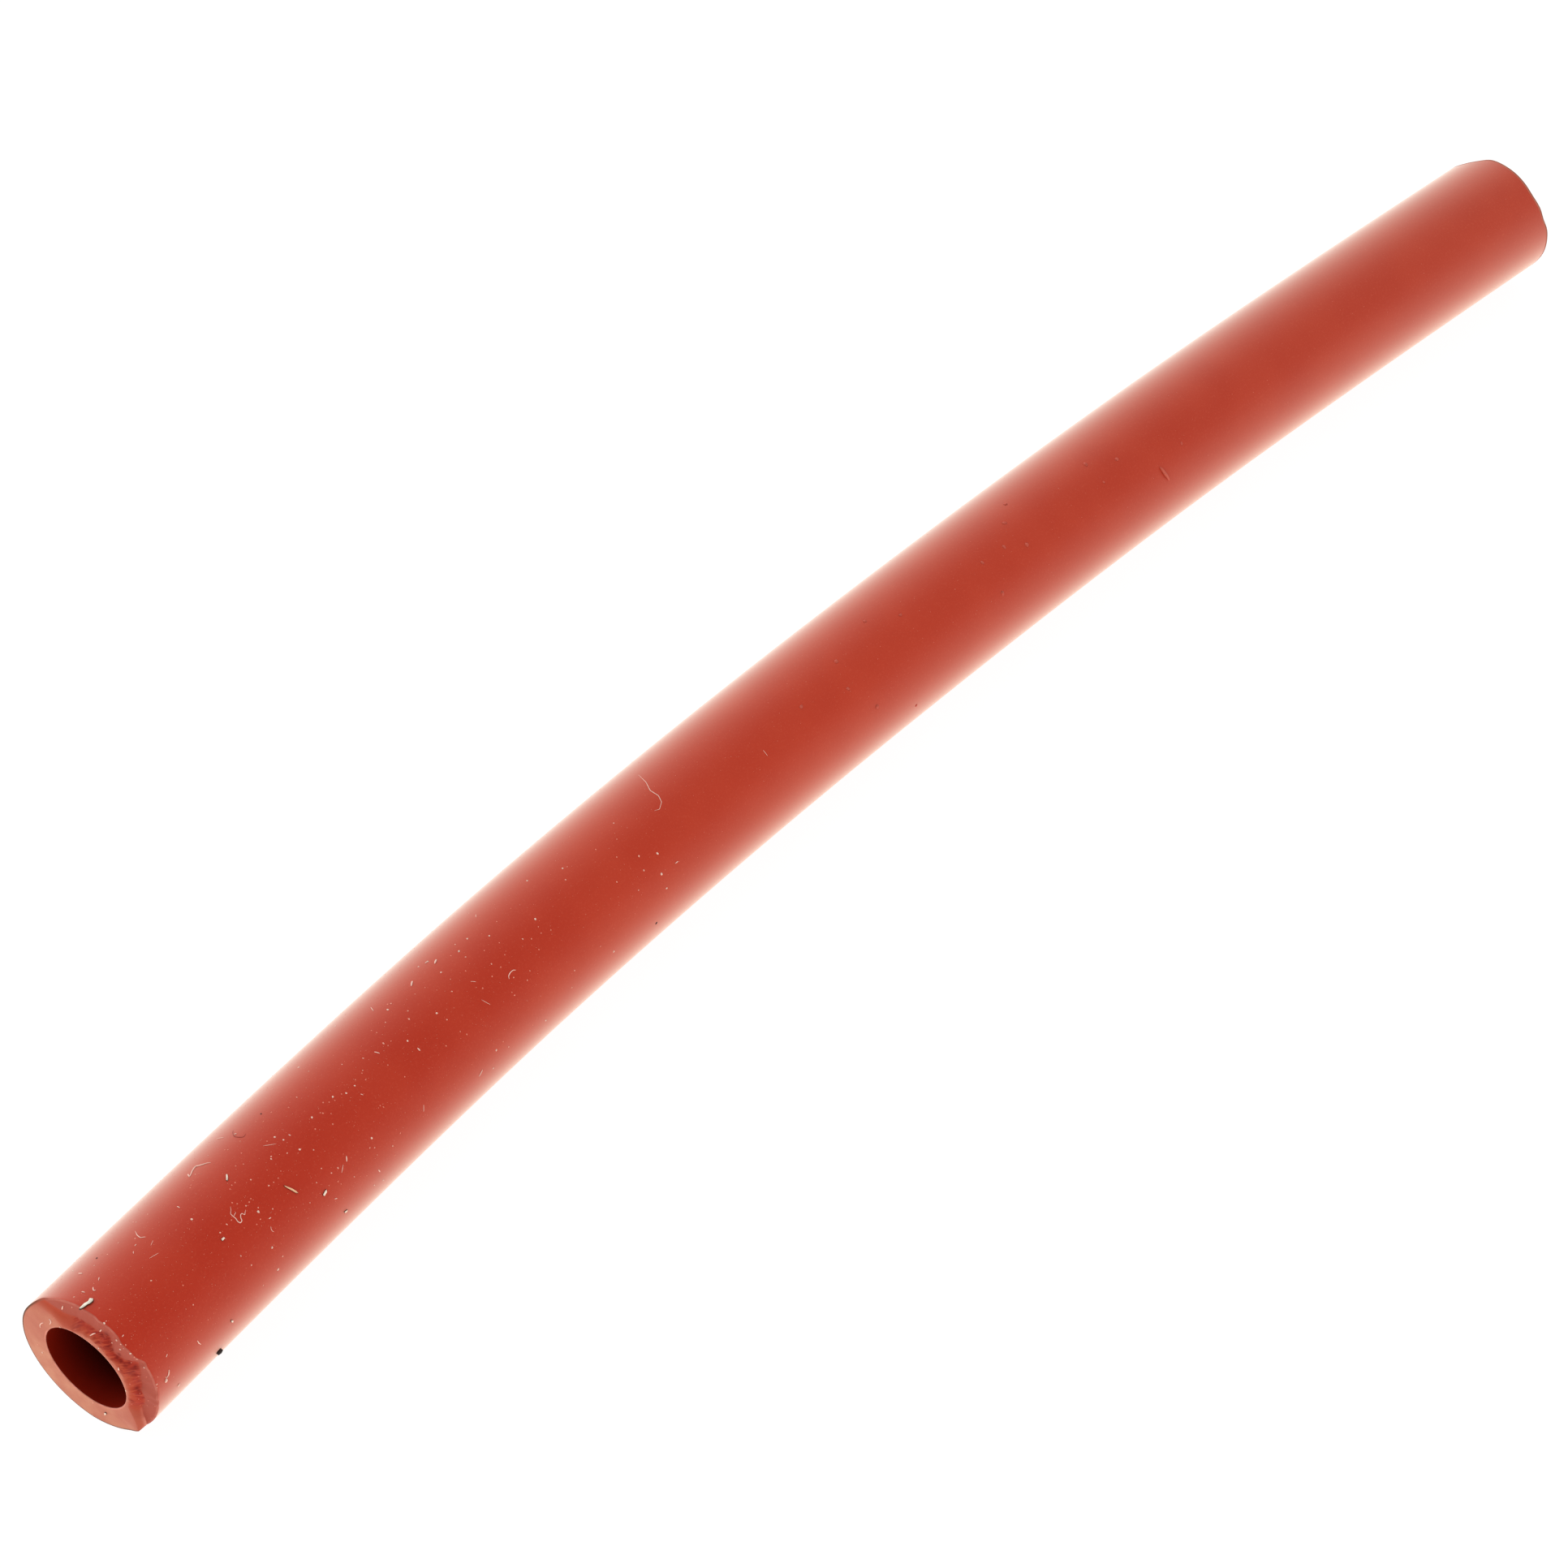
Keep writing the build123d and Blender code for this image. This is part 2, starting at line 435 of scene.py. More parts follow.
torn, step, fall, crease = near_face(grid_angle, grid_radius)[1:]
recess = smooth_step(fall, *RECESS_FADE)
on_near = np.isin(grid_kind, ["near edge", "near face", "bore edge"])
on_far = np.isin(grid_kind, ["far edge", "far face", "far bore edge"])
by_recess = smooth_step(np.maximum(step, recess), *BESIDE_FADE) * on_near
face_rim, face_lip = OUTER_RADIUS / MM - EDGE, BORE_RADIUS / MM + EDGE
at_rim = smooth_step(grid_radius, face_rim - RIM_LINE, face_rim)
at_lip = smooth_step(-grid_radius, -(face_lip + LIP_LINE), -face_lip)
# Painted pale highlight lines: round the bore's lip, along the step's foot, and fainter on the recess's
# rim.
highlighted_edges = np.maximum.reduce([at_lip, RECESS_RIM_HIGHLIGHT * at_rim * by_recess, crease])
# A thin dark line of painted shade along the rims, where the edge turns away from the light.
shaded_rims = at_rim * (drawn_round(RIM_SHADE, grid_angle) * on_near + FAR_RIM_SHADE * on_far)
from_mouth = np.minimum(grid_along, line_reach[-1] / MM - grid_along)
add_measure(tube, "torn", torn * on_near)
add_measure(tube, "step", step * on_near)
add_measure(tube, "foot", smooth_step(fall, *FOOT_FADE) * torn * on_near)
# Painted shade in the torn step's pockets.
add_measure(tube, "shaded_pocket", in_shaded_pocket() * on_near)
add_measure(tube, "recess", recess * on_near)
add_measure(tube, "rim", shaded_rims)
add_measure(tube, "worn", drawn_round(WORN, grid_angle) * on_near)
add_measure(tube, "around", np.radians(grid_angle) * grid_radius)
add_measure(tube, "outward", grid_radius)
add_measure(tube, "edge_highlight", highlighted_edges * on_near)
add_measure(tube, "dusty", np.interp(grid_along, DUSTY_FROM_NEAR, DUSTY_SHARE))
# Painted shade that deepens from each mouth into the bore.
add_measure(tube, "deep", smooth_step(from_mouth, 0, DARK_BY))

SKIN_FINISH, CUT_FINISH, BORE_FINISH = range(3)
kinds = grid_kind.ravel()
is_bore = (kinds == "bore") | (np.roll(kinds, -1) == "bore")
row_finish = np.where(is_bore, BORE_FINISH, np.where(kinds == "skin", SKIN_FINISH, CUT_FINISH))
tube.data.polygons.foreach_set("material_index", np.repeat(row_finish, COLUMNS))

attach(tube, "root")
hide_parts("vacuum_tube")


# Finish of the rubber
# Red rubber with a satin skin and a painted pale sheen that shows at a glancing view. The cut faces
# are paler and duller than the skin, and the torn step is raw red, with painted highlights on its
# fibres and painted shade in its hollows and pockets. The bore is dark inside with painted shade.
class Value:
    """A shader socket. An expression on it adds the Math nodes that it needs."""

    def __init__(self, finish, socket):
        self.finish = finish
        self.socket = socket

    def maths(self, operation, first, second):
        return self.finish.node("ShaderNodeMath", {"operation": operation}, {0: first, 1: second})

    def __add__(self, other):
        return self.maths("ADD", self, other)

    def __radd__(self, other):
        return self.maths("ADD", other, self)

    def __sub__(self, other):
        return self.maths("SUBTRACT", self, other)

    def __rsub__(self, other):
        return self.maths("SUBTRACT", other, self)

    def __mul__(self, other):
        return self.maths("MULTIPLY", self, other)

    def __rmul__(self, other):
        return self.maths("MULTIPLY", other, self)

    def __pow__(self, other):
        return self.maths("POWER", self, other)

    def size(self):
        return self.maths("ABSOLUTE", self, 0.0)

    def ramp(self, start, end):
        """0 up to start and 1 from end on, smooth between them."""
        settings = {"interpolation_type": "SMOOTHSTEP"}
        sockets = {0: self, 1: start, 2: end, 3: 0.0, 4: 1.0}
        return self.finish.node("ShaderNodeMapRange", settings, sockets)


class Finish:
    """A node material, or the world. node() adds any node: first its settings, then a number, a
    colour or a link for each of its sockets."""

    def __init__(self, name, group=bpy.data.materials):
        self.owner = group.new(name)
        self.owner.use_nodes = True
        self.tree = self.owner.node_tree
        self.tree.nodes.clear()

    def node(self, kind, settings=None, sockets=None, output=0):
        made = self.tree.nodes.new(kind)
        for name, setting in (settings or {}).items():
            setattr(made, name, setting)
        for name, value in (sockets or {}).items():
            if isinstance(value, Value):
                self.tree.links.new(value.socket, made.inputs[name])
            else:
                made.inputs[name].default_value = value
        return None if output is None else Value(self, made.outputs[output])

    def measure(self, name):
        """A number that the piece holds at each of its points."""
        return self.node("ShaderNodeAttribute", {"attribute_name": name}, output="Fac")

    def places(self):
        """Object coordinates, which are the object's own metres."""
        return self.node("ShaderNodeTexCoord", output="Object")

    def mixed(self, share, first, second):
        """The first colour, and the second where the share is 1."""
        settings = {"data_type": "RGBA", "clamp_factor": True}
        return self.node("ShaderNodeMix", settings, {0: share, 6: first, 7: second}, output=2)

    def noise(self, cell, detail=2.0, rough=0.5, places=None):
        """Noise from 0 to 1 with features of about one cell, in metres or in the places' own unit."""
        vector = places or self.places()
        sockets = {"Vector": vector, "Scale": 1 / cell, "Detail": detail, "Roughness": rough}
        return self.node("ShaderNodeTexNoise", {}, sockets)

    def show(self, shader, output="ShaderNodeOutputMaterial"):
        """Makes the shader the surface of the material, or of the world."""
        self.node(output, {}, {"Surface": shader}, output=None)
        return self.owner


CLOUD = 0.004
SKIN_GRAIN = 0.00012
SKIN_RELIEF = 0.00002
SMEAR = 0.0012
PATCH = 0.0007
CUT_GRAIN = 0.0002
CUT_RELIEF = 0.00003
TALC = 0.0015
FIBRE_WIDTH = 0.13
FIBRE_STRETCH = 0.3


def skin_rubber():
    """The outer skin: red, with faint cloudy patches, and a painted pale sheen: a pale diffuse that is
    mixed in where it is seen at a glance, as (1 - cosine of the view's angle) to the power 3."""
    red = (0.48, 0.015, 0.0045, 1)
    cloudy_red = (0.535, 0.03, 0.012, 1)
    dusty_red = (0.62, 0.08, 0.045, 1)
    # The colour of the painted pale sheen at a glancing view.
    pale_sheen_white = (1.0, 0.92, 0.88, 1)
    finish = Finish("skin_rubber")
    cloud = finish.noise(CLOUD, 3.0)
    grain = finish.noise(SKIN_GRAIN, 3.0, 0.6)
    bump = finish.node("ShaderNodeBump", {}, {"Height": grain, "Strength": 0.25, "Distance": SKIN_RELIEF})
    cloudy = cloud.ramp(0.35, 0.7) * 0.45 + finish.measure("dusty")
    dusty = grain.ramp(0.5, 0.8) * 0.3
    sockets = {
        "Base Color": finish.mixed(dusty, finish.mixed(cloudy, red, cloudy_red), dusty_red),
        "Roughness": 0.3 + cloud * 0.08,
        "Specular IOR Level": 0.22,
        "Sheen Weight": 0.35,
        "Sheen Roughness": 0.6,
        "Sheen Tint": (1.0, 0.55, 0.2, 1),
        "Normal": bump,
    }
    rubber = finish.node("ShaderNodeBsdfPrincipled", {}, sockets)
    # Painted sheen: a pale diffuse mixed over the rubber where it is seen at a glance.
    painted_sheen = finish.node("ShaderNodeBsdfDiffuse", {}, {"Color": pale_sheen_white})
    glancing = finish.node("ShaderNodeLayerWeight", {}, {"Blend": 0.5}, output="Facing")
    sheen_share = glancing ** 3.0 * 0.9
    return finish.show(finish.node("ShaderNodeMixShader", {}, {0: sheen_share, 1: rubber, 2: painted_sheen}))


def cut_rubber():
    """The knife's faces: pale and dull, redder in the recess, and raw red on the torn step, with painted
    highlights on its fibres and painted shade in its hollows and pockets. A fine dark line of painted
    shade runs on the rim, and painted pale highlight lines run round the bore's lip, along the foot
    of the step and faintly on the recess's rim."""
    face = (0.55, 0.165, 0.112, 1)
    worn_face = (0.64, 0.29, 0.19, 1)
    recess_red = (0.43, 0.084, 0.057, 1)
    torn_orange = (0.48, 0.064, 0.027, 1)
    torn_red = (0.43, 0.03, 0.012, 1)
    # A painted highlight on the torn fibres, and painted shade in the hollows between them.
    fibre_highlight = (0.62, 0.12, 0.055, 1)
    hollow_shade = (0.26, 0.006, 0.002, 1)
    # Painted shade in the torn step's pockets.
    pocket_shade = (0.2, 0.004, 0.001, 1)
    # The colour of the painted pale highlight lines.
    pale_highlight = (0.78, 0.3, 0.24, 1)
    # The colour of the rims' thin dark line of painted shade.
    rim_shade_line = (0.06, 0.028, 0.007, 1)
    finish = Finish("cut_rubber")
    smear = finish.noise(SMEAR, 3.0)
    grain = finish.noise(CUT_GRAIN, 3.0, 0.6)
    patch = finish.noise(PATCH, 2.0)
    torn = finish.measure("torn")
    outwards = {"X": finish.measure("around"), "Y": finish.measure("outward") * FIBRE_STRETCH}
    fibre = finish.noise(FIBRE_WIDTH, 2.0, 0.6, finish.node("ShaderNodeCombineXYZ", {}, outwards))
    worn = finish.measure("worn") * 0.6 + smear.ramp(0.6, 0.3) * 0.3
    step_red = finish.mixed(finish.measure("foot"), torn_orange, torn_red)
    # Painted highlights on the fibre tops, and painted shade in the hollows between them.
    fibre_highlights = torn * fibre.ramp(0.5, 0.3) * 0.45
    hollow_shades = torn * fibre.ramp(0.42, 0.6) * patch.ramp(0.4, 0.55) * 0.7
    # Painted shade in the pockets.
    pocket_shades = finish.measure("shaded_pocket") * (0.45 + 0.55 * fibre.ramp(0.35, 0.6))
    smears = smear.ramp(0.4, 0.8) * 0.35
    # Painted pale highlight lines, broken up by patches.
    edge_highlights = finish.measure("edge_highlight") * (0.25 + 0.75 * patch.ramp(0.6, 0.35))
    base = finish.mixed(worn, face, worn_face)
    base = finish.mixed(finish.measure("recess"), base, recess_red)
    base = finish.mixed(finish.measure("step"), base, step_red)
    base = finish.mixed(fibre_highlights, base, fibre_highlight)
    base = finish.mixed(hollow_shades, base, hollow_shade)
    base = finish.mixed(pocket_shades, base, pocket_shade)
    base = finish.mixed(smears, base, recess_red)
    base = finish.mixed(edge_highlights, base, pale_highlight)
    # The rims' thin dark line of painted shade.
    base = finish.mixed(finish.measure("rim") * 0.88, base, rim_shade_line)
    bump = finish.node("ShaderNodeBump", {}, {"Height": grain, "Strength": 0.3, "Distance": CUT_RELIEF})
    sockets = {
        "Base Color": base,
        "Roughness": 0.5 + grain * 0.1,
        "Specular IOR Level": 0.2,
        "Normal": bump,
    }
    return finish.show(finish.node("ShaderNodeBsdfPrincipled", {}, sockets))


def bore_rubber():
    """The bore's wall: the red darkened by painted shade, dull with talc, with more painted shade deeper
    in from each mouth.
    """
    # The bore's colours are the red darkened by painted shade, and darker still deeper in.
    shaded_bore_red = (0.2, 0.007, 0.001, 1)
    talc_and_shade_red = (0.26, 0.014, 0.003, 1)
    deep_shade = (0.009, 0.0003, 0.0001, 1)
    finish = Finish("bore_rubber")
    talc = finish.noise(TALC, 3.0)
    base = finish.mixed(talc.ramp(0.4, 0.8) * 0.3, shaded_bore_red, talc_and_shade_red)
    base = finish.mixed(finish.measure("deep"), base, deep_shade)
    sockets = {"Base Color": base, "Roughness": 0.7 + talc * 0.1, "Specular IOR Level": 0.05}
    return finish.show(finish.node("ShaderNodeBsdfPrincipled", {}, sockets))


for rubber in (skin_rubber(), cut_rubber(), bore_rubber()):
    tube.data.materials.append(rubber)

# Lint on the tube
# Short pale hairs lie on the tube, most of them near the cut end, and one faded and one dark. Most
# are a few hundredths of a millimetre thick, and each follows the rubber and tapers to both ends.
# Widths and points are in pixels of the photograph.
HAIR_SIDES = 6
HAIR_STEP = 0.8
FEWEST_RINGS = 6
HAIR_RISE = 0.7
DIRT_GRAIN = 0.0002
DIRT_DARKER = 0.85
HAIRS = [
    (1.6, [(231.2, 1447.8), (233.4, 1450.5), (235, 1447.8), (237, 1443.2), (240, 1438.7),
           (242, 1437.2), (246.1, 1436.4), (250.7, 1434.9), (255.2, 1433.3), (260, 1432.6)]),
    (1.1, [(283.7, 1486.5), (284.6, 1490.5), (284, 1495.8), (286.8, 1498.5), (290.4, 1501.4),
           (292.6, 1505.1), (296, 1507.1), (298.1, 1504.3), (296.4, 1500.3), (296.4, 1496.3),
           (298.4, 1495), (301.5, 1497.2), (302.1, 1493.2), (302.6, 1490.6)]),
    (0.8, [(288, 1498.6), (289.9, 1494.9), (290.8, 1493.4)]),
    (1.9, [(231.6, 1447), (233.6, 1450.6)]),
    (1.1, [(166.4, 1516.7), (169.2, 1522.4), (173, 1525.3), (179.7, 1524)]),
    (0.5, [(196, 1543.5), (184, 1550.6)]),
    (0.5, [(188.7, 1528.2), (185.7, 1534.9)]),
    (1.0, [(168.3, 1533), (165.8, 1535.4)]),
    (0.9, [(164.4, 1541.6), (164.4, 1545)]),
    (1.5, [(96.5, 1569.5), (101.9, 1569.5)]),
    (1.1, [(122.4, 1573.7), (121.4, 1577.9)]),
    (1.5, [(114.6, 1585.7), (115, 1590.5), (118.4, 1589.7)]),
    (1.3, [(100.4, 1591.7), (104.8, 1592.5)]),
    (1.2, [(218, 1486.5), (221.8, 1488.4)]),
    (1.3, [(242.9, 1651.6), (244.9, 1655.2), (247.7, 1656.4)]),
    (0.9, [(206, 1668), (204.6, 1672.5)]),
    (1.6, [(208.3, 1687.4), (207.5, 1693), (205.6, 1697.6)]),
    (3.2, [(204.9, 1698), (203.2, 1703.5)]),
    (2.2, [(221.5, 1704), (218, 1708.5)]),
    (1.9, [(77.8, 1608.6), (76.6, 1613.6)]),
    (1.1, [(152.5, 1644.6), (150.2, 1647.3)]),
    (1.6, [(110.7, 1646), (114, 1643.6), (118, 1642.5)]),
    (1.7, [(123.1, 1640.6), (125.2, 1638)]),
    (1.3, [(50, 1636), (49.4, 1632.3), (51.2, 1630.2), (53.8, 1629.7)]),
    (1.5, [(60.5, 1624.5), (63.5, 1628.5), (61.5, 1632)]),
    (1.8, [(145.6, 1684.6), (146.9, 1688.4)]),
    (1.5, [(426.5, 1424), (427.1, 1431.5)]),
    (0.7, [(422.9, 1434.7), (420.8, 1445.3)]),
    (1.1, [(460.8, 1296.1), (468, 1298)]),
    (0.5, [(323.7, 1412), (332, 1410.8), (340.7, 1409.3)]),
    (1.1, [(266.7, 1403.5), (276, 1401.6)]),
    (1.6, [(288.4, 1398.3), (291.7, 1396.9)]),
    (1.1, [(355.2, 1397.9), (358.4, 1399.5)]),
    (0.9, [(444, 1347.9), (447.6, 1349.3)]),
    (1.6, [(465.8, 1441.1), (468, 1444)]),
    (1.1, [(412, 1477.3), (415.5, 1476.3)]),
    (1.5, [(514.1, 1291.3), (517.7, 1294.9)]),
    (1.2, [(594.6, 1317.6), (590, 1326.5)]),
    (0.7, [(521.9, 1361), (521.9, 1369.9)]),
    (2.2, [(538, 1182.3), (535.5, 1187.8)]),
    (2.2, [(508.2, 1208.9), (506.7, 1215.4)]),
    (1.3, [(527.1, 1184.7), (523.6, 1187.3)]),
    (1.0, [(456.7, 1241.1), (460.4, 1246)]),
    (0.9, [(586.4, 1126.7), (586.4, 1130.4)]),
    (0.6, [(333.7, 1510.9), (333.8, 1514.4), (335.6, 1517.1), (337.8, 1518)]),
    (1.0, [(331, 1502), (334, 1499.8)]),
    (0.9, [(786.5, 954.6), (796, 964), (801.1, 974.2), (811.3, 980.6), (815.1, 988.3),
           (812.6, 997.2), (806.2, 999)]),
    (1.1, [(636, 1195.3), (632, 1195.3), (628.3, 1198.7), (626.4, 1202.7), (627.5, 1206.7)]),
    (0.6, [(579.6, 1209.3), (586.7, 1209.7)]),
    (0.5, [(593.1, 1231.7), (604.3, 1238.1)]),
    (1.1, [(835.5, 1061), (831.7, 1064)]),
    (0.5, [(940.2, 924.3), (945.9, 931.5)]),
]
FADED_HAIR = (4.0, [(1428.8, 575.5), (1440.3, 592.1)])
DARK_HAIR = (0.8, [(287.3, 1392.7), (286.7, 1396.7), (288.7, 1400.7), (294, 1401.3), (300, 1401.1),
                   (303.3, 1396.7)])


def hair(width, pixels):
    """Points and faces of one hair: rings of HAIR_SIDES points round a line that runs through the
    pixels with rounded bends, each ring the line's point plus the hair's radius times (cosine along
    the rubber's normal + sine across). The radius is half the width times the square root of the
    sine of the share run."""
    corners = np.array(pixels, float)
    reach = np.concatenate([[0], np.cumsum(np.linalg.norm(np.diff(corners, axis=0), axis=1))])
    count = max(FEWEST_RINGS, int(reach[-1] / HAIR_STEP))
    even = np.linspace(0, reach[-1], count)
    shifted = [np.clip(even + shift * HAIR_STEP, 0, reach[-1]) for shift in (-1, 0, 1)]
    drawn = [np.stack([np.interp(run, reach, part) for part in corners.T], -1) for run in shifted]
    hits = [on_tube(x, y) for x, y in np.mean(drawn, axis=0)]
    places, normals, pixel = (np.array(values) for values in zip(*hits))
    heading = np.gradient(places, axis=0)
    heading /= np.linalg.norm(heading, axis=1)[:, None]
    across = np.cross(heading, normals)
    radius = width / 2 * pixel * np.sqrt(np.sin(np.pi * (np.arange(count) + 0.5) / count))
    turn = np.arange(HAIR_SIDES) * 2 * np.pi / HAIR_SIDES
    ring = np.cos(turn)[None, :, None] * normals[:, None] + np.sin(turn)[None, :, None] * across[:, None]
    raised = places + normals * radius[:, None] * HAIR_RISE
    points = raised[:, None] + radius[:, None, None] * ring
    row, side = np.meshgrid(np.arange(count - 1), np.arange(HAIR_SIDES), indexing="ij")
    beside = (side + 1) % HAIR_SIDES
    ring_start, next_start = row * HAIR_SIDES, (row + 1) * HAIR_SIDES
    faces = np.stack([ring_start + side, ring_start + beside, next_start + beside, next_start + side], -1)
    first_end = list(range(HAIR_SIDES))[::-1]
    last_end = list(range((count - 1) * HAIR_SIDES, count * HAIR_SIDES))
    return points.reshape(-1, 3), faces.reshape(-1, 4).tolist() + [first_end, last_end]


def joined(shapes):
    """Several (points, faces) shapes as one: their points stacked and their faces counted on."""
    counted = []
    start = 0
    for points, faces in shapes:
        counted += [[start + corner for corner in face] for face in faces]
        start += len(points)
    return np.concatenate([points for points, faces in shapes]), counted


def turned_out(piece):
    """Turns every face of a piece outwards."""
    shape = bmesh.new()
    shape.from_mesh(piece.data)
    bmesh.ops.recalc_face_normals(shape, faces=shape.faces)
    shape.to_mesh(piece.data)
    shape.free()


def plain_dirt(name, colour):
    """A dull dirt whose colour is a little uneven."""
    finish = Finish(name)
    uneven = finish.noise(DIRT_GRAIN, 2.0)
    darker = tuple(DIRT_DARKER * part for part in colour)
    base = finish.mixed(uneven.ramp(0.35, 0.7), (*colour, 1), (*darker, 1))
    sockets = {"Base Color": base, "Roughness": 0.55, "Specular IOR Level": 0.5}
    return finish.show(finish.node("ShaderNodeBsdfPrincipled", {}, sockets))


def add_dirt(name, shapes, *finishes):
    """A piece of dirt that rides on the tube."""
    points, faces = joined(shapes)
    piece = add_piece(name, points, faces)
    turned_out(piece)
    for finish in finishes:
        piece.data.materials.append(finish)
    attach(piece, "root")
    return piece


pale_hairs = [hair(width, pixels) for width, pixels in HAIRS]
add_dirt("lint_hairs", pale_hairs, plain_dirt("pale_lint", (1.0, 0.66, 0.57)))
add_dirt("faded_hair", [hair(*FADED_HAIR)], plain_dirt("faded_lint", (0.62, 0.1, 0.06)))
add_dirt("dark_hair", [hair(*DARK_HAIR)], plain_dirt("dark_lint", (0.34, 0.05, 0.035)))

# Flakes on the tube
# A cream flake of old bench dirt lies by the near rim, and chips and a thin cream-pink splinter lie
# along the top. They are thin, uneven plates that rest on the rubber. Thicknesses are in pixels.
CREAM_FLAKE = [
    (97.2, 1613.8), (103.5, 1607.4), (109.3, 1604.2), (111.2, 1600.4), (115.7, 1601), (115, 1604.2),
    (111.2, 1607.4), (108, 1608.7), (102.9, 1612.5), (99.1, 1614.4),
]
SPLINTER = [
    (349.3, 1460.7), (353.3, 1462), (360, 1464.7), (365.3, 1468), (367.5, 1470.7), (364, 1470),
    (358.7, 1466.9), (353.3, 1464), (349.6, 1461.6),
]
CHIPS = [
    [(401.6, 1465.2), (402.4, 1468.4), (399.2, 1474.0), (397.2, 1472.4), (399.6, 1467.6)],
    [(427.6, 1490.0), (427.2, 1492.4), (424.4, 1494.4), (423.6, 1492.8)],
    [(272.0, 1527.0), (275.6, 1524.2), (277.2, 1526.0), (273.6, 1529.4)],
    [(128.8, 1740.4), (131.2, 1740.0), (131.6, 1742.0), (129.6, 1743.2)],
    [(278.4, 1447.2), (280.4, 1447.4), (281.0, 1452.0), (280.4, 1455.6), (278.6, 1454.8)],
    [(284.0, 1626.4), (287.0, 1626.8), (286.6, 1629.2), (284.4, 1629.0)],
]
CREAM_THICKNESS = 2.5
SPLINTER_THICKNESS = 1.3
CHIP_THICKNESS = 1.2


def plate(outline, normal, bottom, top):
    """A closed plate: an outline moved along the normal by bottom and, drawn in by a fourteenth, by
    top, and a point in the middle of each side, the upper one raised by a quarter of the height."""
    middle = outline.mean(axis=0)
    lower = outline + normal * bottom
    upper = outline + (middle - outline) / 14 + normal * top
    centres = np.array([lower.mean(axis=0), upper.mean(axis=0) + normal * (top - bottom) / 4])
    count = len(outline)
    faces = []
    for corner in range(count):
        beside = (corner + 1) % count
        faces += [[corner, beside, count + beside, count + corner], [beside, corner, 2 * count],
                  [count + corner, count + beside, 2 * count + 1]]
    return np.concatenate([lower, upper, centres]), faces


def flake(pixels, thickness):
    """A plate of a few pixels' thickness with the outline of the pixels, in the plane that touches
    the rubber under its middle."""
    corners = np.array(pixels, float)
    middle, normal, pixel = on_tube(*corners.mean(axis=0))
    camera_place = np.array(CAMERA_PLACE)
    rays = np.array([line_of_sight(x, y) for x, y in corners])
    reach = ((middle - camera_place) @ normal) / (rays @ normal)
    return plate(camera_place + rays * reach[:, None], normal, 0.0, thickness * pixel)


# The plates' edges are painted dark as shade.
shaded_edge = plain_dirt("shaded_edge", (0.1, 0.03, 0.015))


def add_flakes(name, outlines, thickness, dirt):
    """Plates of one dirt. The first of every three faces is the plate's edge, painted dark as shade."""
    piece = add_dirt(name, [flake(outline, thickness) for outline in outlines], dirt, shaded_edge)
    is_edge = np.arange(len(piece.data.polygons)) % 3 == 0
    piece.data.polygons.foreach_set("material_index", is_edge.astype(int))


add_flakes("cream_flake", [CREAM_FLAKE], CREAM_THICKNESS, plain_dirt("cream_dirt", (1.0, 0.96, 0.84)))
add_flakes("splinter", [SPLINTER], SPLINTER_THICKNESS, plain_dirt("splinter_wood", (0.95, 0.55, 0.33)))
add_flakes("chips", CHIPS, CHIP_THICKNESS, plain_dirt("pale_chips", (0.99, 0.84, 0.72)))

# Dark crumb on the tube
# One dark crumb of bench dirt clings low on the side towards the camera. It is a small uneven lump,
# a third of a millimetre long, and rests on the rubber.
CRUMB_PLACE = (269.4, 1664.4)
CRUMB_LENGTH = 9.0
CRUMB_WIDTH = 6.0
CRUMB_HEIGHT = 3.6
CRUMB_CORNERS = [(-0.5, -0.2), (-0.25, -0.5), (0.35, -0.45), (0.5, 0.1), (0.2, 0.5), (-0.35, 0.4)]


def crumb(x, y):
    """A plate that stands on the rubber at a pixel: its corners are shares of its length along the
    tube and of its width across it, and its length, width and height are in pixels."""
    middle, normal, pixel = on_tube(x, y)
    lengthways = np.array([1.0, 0.0, 0.0]) - normal * normal[0]
    sideways = np.cross(normal, lengthways)
    corners = np.array(CRUMB_CORNERS)
    reach = corners[:, :1] * CRUMB_LENGTH * lengthways + corners[:, 1:] * CRUMB_WIDTH * sideways
    return plate(middle + pixel * reach, normal, -pixel, CRUMB_HEIGHT * pixel)


add_dirt("dark_crumb", [crumb(*CRUMB_PLACE)], plain_dirt("dark_crumb", (0.02, 0.006, 0.004)))

# Dust on the tube
# Fine dust has settled all over the top of the tube, most of it near the cut end: specks of up to
# fourteen hundredths of a millimetre, most of them paler than the rubber, and a few dark ones. The
# faded spots on the farther half are wider. Sizes are in pixels, and FINE_RADII in millimetres.
LARGEST_SPECKS = [
    (90.2, 1566), (236.2, 1502.4), (318.2, 1493), (335.4, 1537.2), (342.6, 1564.3), (458, 1402.3),
    (756.4, 1172.4), (815.1, 1076.8),
]
LARGE_SPECKS = [
    (138, 1654.6), (410, 1351.3), (369.3, 1416.3), (338.4, 1400.9), (349.3, 1404.5),
    (384.3, 1376.9), (334.1, 1428), (472.4, 1454.3), (659.6, 1132.4), (565.5, 1172),
    (611.6, 1293.9), (607.9, 1316.3), (693.2, 1069.9), (649.5, 1085.2), (821.5, 1094.6),
    (515.6, 1191.1), (527.1, 1184.7), (543.5, 1198), (538.1, 1248.4), (502.1, 1282.5),
    (672.5, 1257.3), (412.7, 1264.6), (52.1, 1666.4), (143.5, 1651.4), (73.8, 1635.3),
    (128.4, 1630.4), (121.4, 1661.4), (155, 1713.7), (177.5, 1685.2), (204.9, 1697.1),
    (810, 1051.5), (437, 1337.7), (368, 1315), (603, 1153.1), (575.6, 1156.7), (461.1, 1460.3),
    (426.5, 1347), (477.7, 1244.1), (147.9, 1662.7), (160.7, 1667.8),
]
